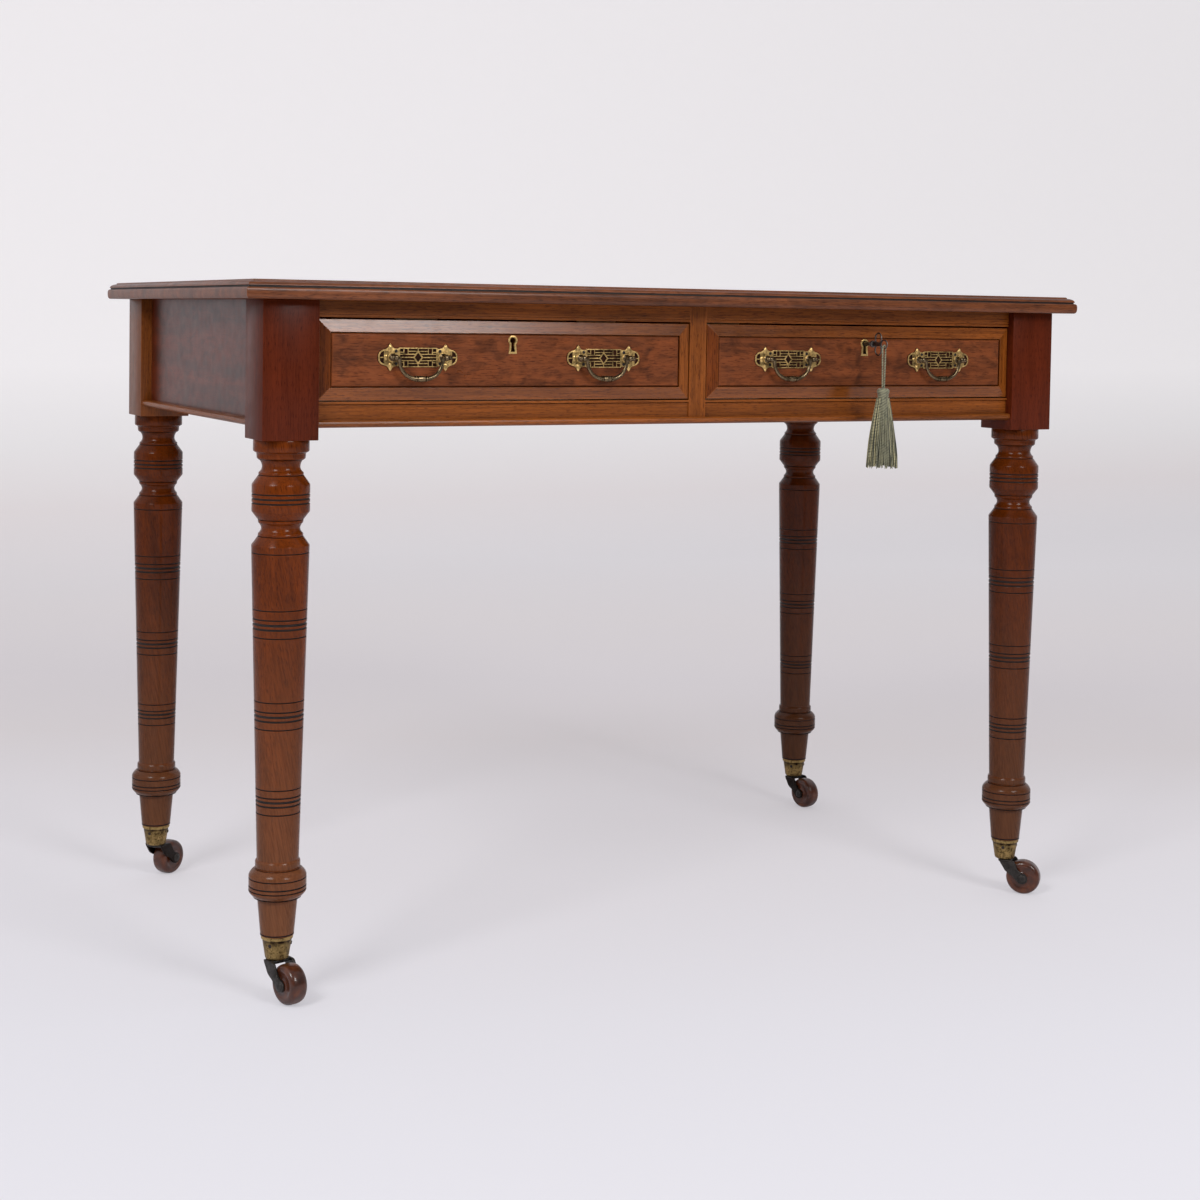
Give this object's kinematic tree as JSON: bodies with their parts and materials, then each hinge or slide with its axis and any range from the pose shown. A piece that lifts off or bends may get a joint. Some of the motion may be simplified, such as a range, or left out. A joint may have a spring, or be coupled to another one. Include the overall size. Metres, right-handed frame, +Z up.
{
  "type": "writing desk",
  "caption": "Free-standing mahogany writing desk with paired keyed drawers, swinging brass bails, a tasselled key, turned legs and castors.",
  "frame": {"origin": "on the floor under the middle of the top", "axes": "+X to the right along the front, +Y from the front to the back, +Z up; the drawers pull out along -Y"},
  "size_m": [1.06, 0.6215, 0.75],
  "materials": {
    "mahogany": "waxed and French-polished mahogany, reddish brown",
    "figured_mahogany": "faded figured mahogany of the drawer panels",
    "drawer_oak": "unpolished oak of the drawer linings and runners",
    "aged_brass": "antique brass, dark in the recesses",
    "brown_ceramic": "brown glazed ceramic",
    "key_steel": "worn grey steel",
    "tassel_thread": "sage green twisted thread"
  },
  "bodies": {
    "frame": {"table_top": "mahogany", "leg_front_left": "mahogany", "leg_front_right": "mahogany", "leg_back_left": "mahogany", "leg_back_right": "mahogany", "side_apron_left": "mahogany", "side_apron_right": "mahogany", "back_apron": "mahogany", "side_mouldings": "mahogany", "front_moulding": "mahogany", "top_rail": "mahogany", "bottom_rail": "mahogany", "muntin": "mahogany", "centre_runner": "drawer_oak", "side_runners": "drawer_oak", "kickers": "drawer_oak", "drawer_stops": "drawer_oak", "glue_blocks": "drawer_oak", "castor_cups": "aged_brass"},
    "drawer_left": {"drawer_front_left": "mahogany", "drawer_bevel_left": "mahogany", "drawer_panel_left": "figured_mahogany", "drawer_sides_left": "drawer_oak", "drawer_back_left": "drawer_oak", "drawer_bottom_left": "drawer_oak", "lock_case_left": "aged_brass", "escutcheon_left": "aged_brass", "handle_plates_left": "aged_brass", "handle_posts_left": "aged_brass"},
    "drawer_right": {"drawer_front_right": "mahogany", "drawer_bevel_right": "mahogany", "drawer_panel_right": "figured_mahogany", "drawer_sides_right": "drawer_oak", "drawer_back_right": "drawer_oak", "drawer_bottom_right": "drawer_oak", "lock_case_right": "aged_brass", "escutcheon_right": "aged_brass", "handle_plates_right": "aged_brass", "handle_posts_right": "aged_brass"},
    "bail_left_a_body": {"bail_left_a": "aged_brass"},
    "bail_left_b_body": {"bail_left_b": "aged_brass"},
    "bail_right_a_body": {"bail_right_a": "aged_brass"},
    "bail_right_b_body": {"bail_right_b": "aged_brass"},
    "lock_bolt_left_body": {"lock_bolt_left": "aged_brass"},
    "lock_bolt_right_body": {"lock_bolt_right": "aged_brass"},
    "key_body": {"key": "key_steel"},
    "tassel_body": {"tassel_cord": "tassel_thread", "tassel": "tassel_thread"},
    "castor_front_left_swivel_body": {"castor_fork_front_left": "aged_brass"},
    "castor_front_left_wheel_body": {"castor_wheel_front_left": "brown_ceramic"},
    "castor_front_right_swivel_body": {"castor_fork_front_right": "aged_brass"},
    "castor_front_right_wheel_body": {"castor_wheel_front_right": "brown_ceramic"},
    "castor_back_left_swivel_body": {"castor_fork_back_left": "aged_brass"},
    "castor_back_left_wheel_body": {"castor_wheel_back_left": "brown_ceramic"},
    "castor_back_right_swivel_body": {"castor_fork_back_right": "aged_brass"},
    "castor_back_right_wheel_body": {"castor_wheel_back_right": "brown_ceramic"}
  },
  "joints": [
    {"name": "drawer_left_slide", "type": "slide", "parent": "frame", "child": "drawer_left", "axis": [0, -1, 0], "range_m": [0, 0.38]},
    {"name": "drawer_right_slide", "type": "slide", "parent": "frame", "child": "drawer_right", "axis": [0, -1, 0], "range_m": [0, 0.38]},
    {"name": "bail_left_a_swing", "type": "hinge", "parent": "drawer_left", "child": "bail_left_a_body", "pos_m": [-0.33584, -0.2785, 0.6712], "axis": [-1, 0, 0], "range_deg": [-14, 150]},
    {"name": "bail_left_b_swing", "type": "hinge", "parent": "drawer_left", "child": "bail_left_b_body", "pos_m": [-0.11591, -0.2785, 0.6712], "axis": [-1, 0, 0], "range_deg": [-14, 150]},
    {"name": "bail_right_a_swing", "type": "hinge", "parent": "drawer_right", "child": "bail_right_a_body", "pos_m": [0.12491, -0.2785, 0.6712], "axis": [-1, 0, 0], "range_deg": [-14, 150]},
    {"name": "bail_right_b_swing", "type": "hinge", "parent": "drawer_right", "child": "bail_right_b_body", "pos_m": [0.33884, -0.2785, 0.6712], "axis": [-1, 0, 0], "range_deg": [-14, 150]},
    {"name": "lock_bolt_left_throw", "type": "slide", "parent": "drawer_left", "child": "lock_bolt_left_body", "axis": [0, 0, 1], "range_m": [0, 0.008]},
    {"name": "lock_bolt_right_throw", "type": "slide", "parent": "drawer_right", "child": "lock_bolt_right_body", "axis": [0, 0, 1], "range_m": [0, 0.008]},
    {"name": "key_turn", "type": "hinge", "parent": "drawer_right", "child": "key_body", "pos_m": [0.23187, -0.2685, 0.69], "axis": [0, 1, 0], "range_deg": [0, 360], "deforming": ["tassel_cord"]},
    {"name": "tassel_swing", "type": "hinge", "parent": "drawer_right", "child": "tassel_body", "pos_m": [0.23187, -0.30828, 0.6852], "axis": [0, 1, 0], "range_deg": [-60, 60], "deforming": ["tassel_cord"]},
    {"name": "castor_front_left_swivel", "type": "hinge", "parent": "frame", "child": "castor_front_left_swivel_body", "pos_m": [-0.477, -0.246, 0.043], "axis": [0, 0, 1], "continuous": true},
    {"name": "castor_front_left_roll", "type": "hinge", "parent": "castor_front_left_swivel_body", "child": "castor_front_left_wheel_body", "pos_m": [-0.47038, -0.26907, 0.021], "axis": [0.9613, 0.2756, 0], "continuous": true},
    {"name": "castor_front_right_swivel", "type": "hinge", "parent": "frame", "child": "castor_front_right_swivel_body", "pos_m": [0.477, -0.246, 0.043], "axis": [0, 0, 1], "continuous": true},
    {"name": "castor_front_right_roll", "type": "hinge", "parent": "castor_front_right_swivel_body", "child": "castor_front_right_wheel_body", "pos_m": [0.49337, -0.26355, 0.021], "axis": [0.7314, 0.682, 0], "continuous": true},
    {"name": "castor_back_left_swivel", "type": "hinge", "parent": "frame", "child": "castor_back_left_swivel_body", "pos_m": [-0.477, 0.246, 0.043], "axis": [0, 0, 1], "continuous": true},
    {"name": "castor_back_left_roll", "type": "hinge", "parent": "castor_back_left_swivel_body", "child": "castor_back_left_wheel_body", "pos_m": [-0.45734, 0.25977, 0.021], "axis": [-0.5736, 0.8192, 0], "continuous": true},
    {"name": "castor_back_right_swivel", "type": "hinge", "parent": "frame", "child": "castor_back_right_swivel_body", "pos_m": [0.477, 0.246, 0.043], "axis": [0, 0, 1], "continuous": true},
    {"name": "castor_back_right_roll", "type": "hinge", "parent": "castor_back_right_swivel_body", "child": "castor_back_right_wheel_body", "pos_m": [0.48199, 0.22252, 0.021], "axis": [0.9781, 0.2079, 0], "continuous": true}
  ],
  "couplings": [
    {"joint": "key_turn", "follows": "lock_bolt_right_throw", "rad_per_m": 785}
  ]
}
